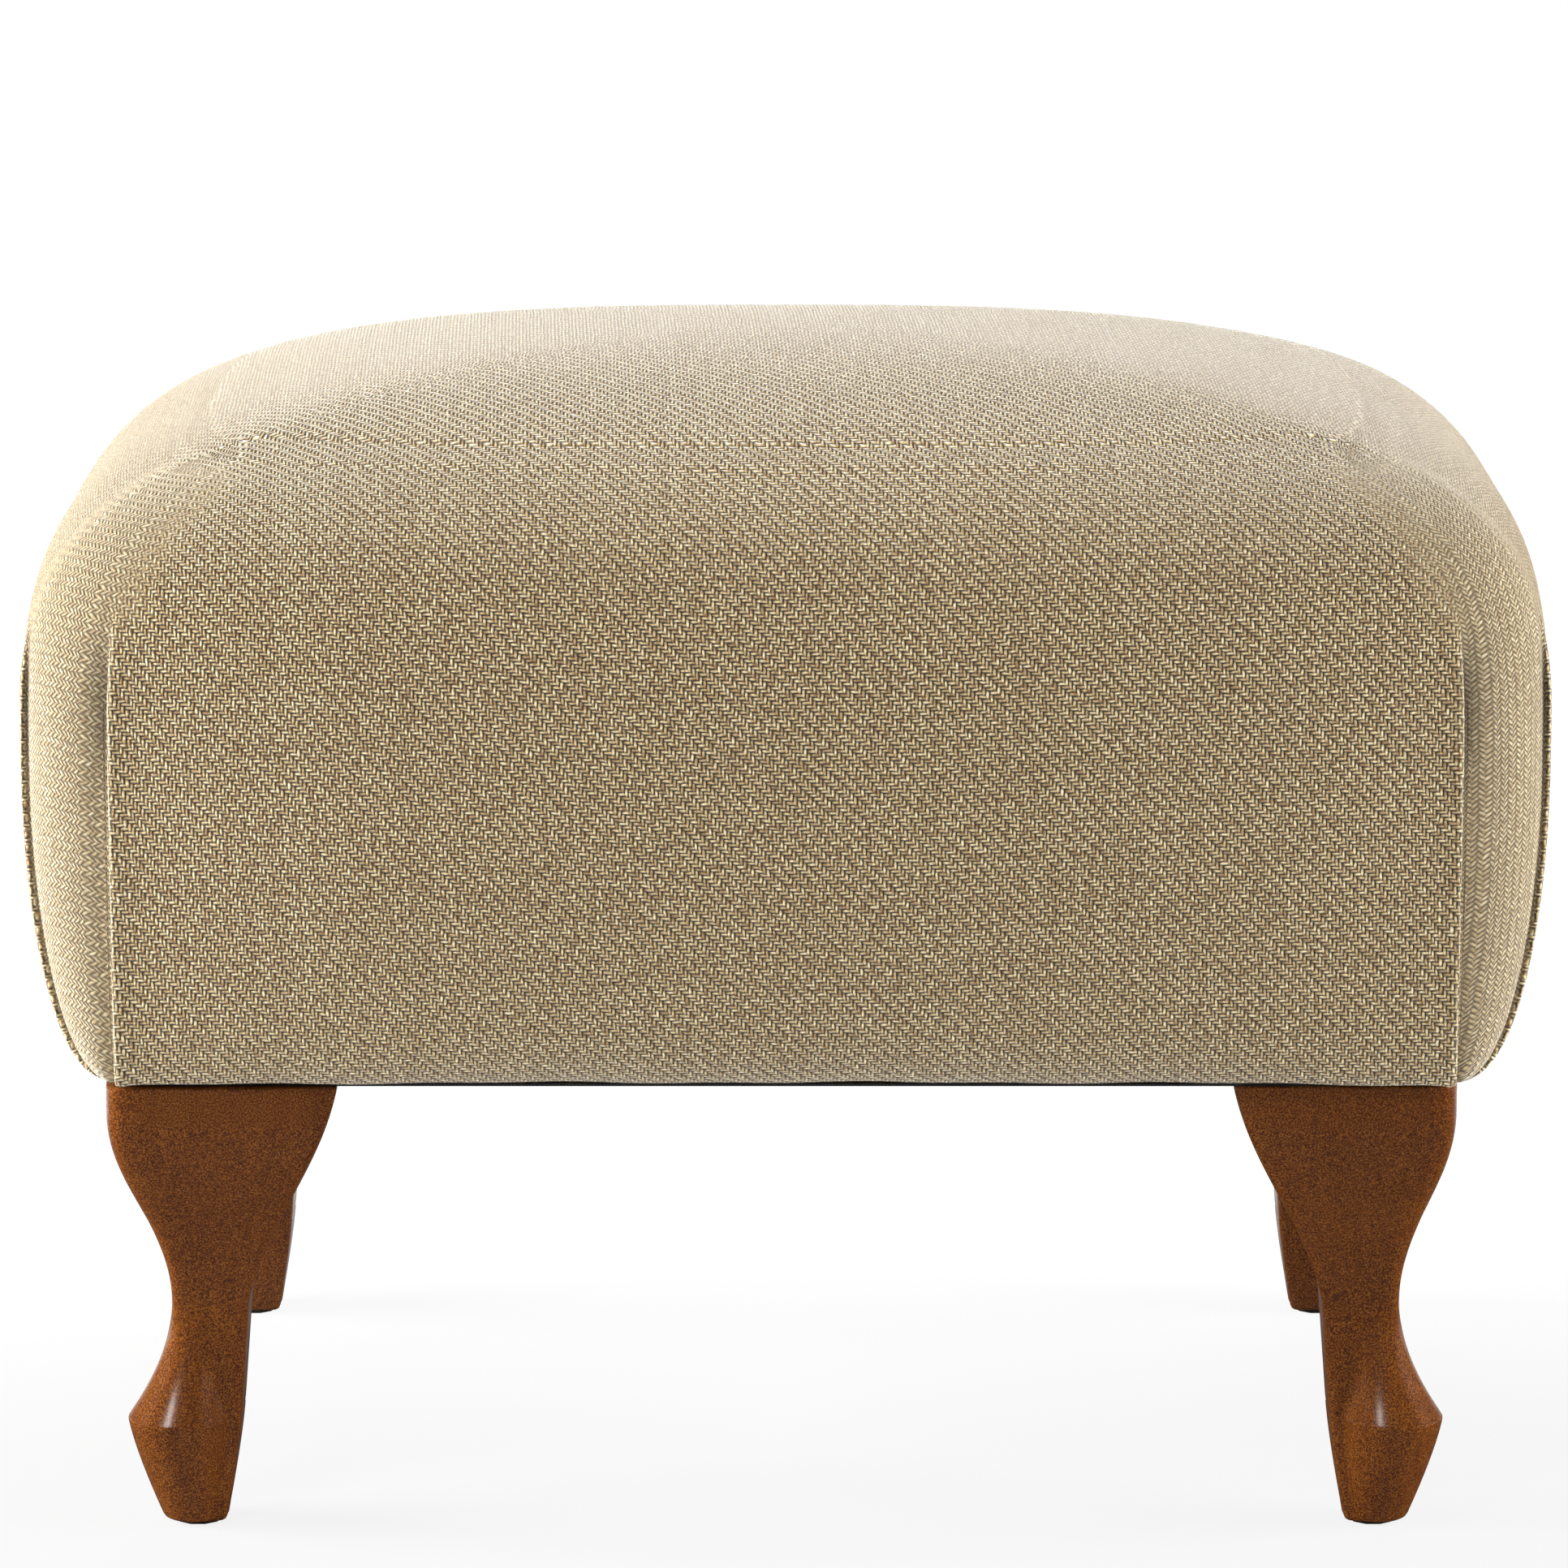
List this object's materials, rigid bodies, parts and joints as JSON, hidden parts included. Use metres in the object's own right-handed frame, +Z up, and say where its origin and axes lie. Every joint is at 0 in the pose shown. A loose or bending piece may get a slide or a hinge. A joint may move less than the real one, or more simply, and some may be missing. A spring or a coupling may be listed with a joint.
{
  "type": "footstool",
  "caption": "Rectangular footstool with a domed padded seat, pleated corners, a plain twill cover and short cabriole legs.",
  "frame": {"origin": "floor level, under the middle of the stool", "axes": "+X to the right of someone facing the stool's long front, -Y towards them, +Z up"},
  "size_m": [0.494, 0.352, 0.374],
  "materials": {
    "linen_twill": "chunky 2/2 twill, khaki and beige yarns, matte",
    "walnut": "walnut brown stain under satin lacquer",
    "frame_wood": "sawn poplar, unfinished",
    "dowel_wood": "beech dowel, unfinished",
    "zinc_steel": "zinc plated",
    "staple_wire": "galvanised wire",
    "glide_nylon": "dark brown nylon",
    "jute_webbing": "plain woven jute",
    "hessian": "open plain weave",
    "foam": "polyurethane foam, open cells",
    "wadding": "polyester fibre",
    "black_cambric": "thin black non-woven cloth"
  },
  "bodies": {
    "root": {"leg_front_left": "walnut", "leg_front_right": "walnut", "leg_rear_left": "walnut", "leg_rear_right": "walnut", "rail_front": "frame_wood", "rail_rear": "frame_wood", "rail_left": "frame_wood", "rail_right": "frame_wood", "corner_block_front_left": "frame_wood", "corner_block_front_right": "frame_wood", "corner_block_rear_left": "frame_wood", "corner_block_rear_right": "frame_wood", "rail_dowels": "dowel_wood", "block_screws": "zinc_steel", "hanger_bolt_front_left": "zinc_steel", "threaded_insert_front_left": "zinc_steel", "foot_glide_front_left": "glide_nylon", "hanger_bolt_front_right": "zinc_steel", "threaded_insert_front_right": "zinc_steel", "foot_glide_front_right": "glide_nylon", "hanger_bolt_rear_left": "zinc_steel", "threaded_insert_rear_left": "zinc_steel", "foot_glide_rear_left": "glide_nylon", "hanger_bolt_rear_right": "zinc_steel", "threaded_insert_rear_right": "zinc_steel", "foot_glide_rear_right": "glide_nylon", "webbing_long_1": "jute_webbing", "webbing_long_2": "jute_webbing", "webbing_long_3": "jute_webbing", "webbing_cross_1": "jute_webbing", "webbing_cross_2": "jute_webbing", "webbing_cross_3": "jute_webbing", "webbing_cross_4": "jute_webbing", "webbing_staples": "staple_wire", "hessian_sheet": "hessian", "foam_block": "foam", "foam_crown": "foam", "wadding": "wadding", "cover": "linen_twill", "hem_staples": "staple_wire", "dust_cover": "black_cambric", "dust_cover_staples": "staple_wire"}
  },
  "joints": []
}
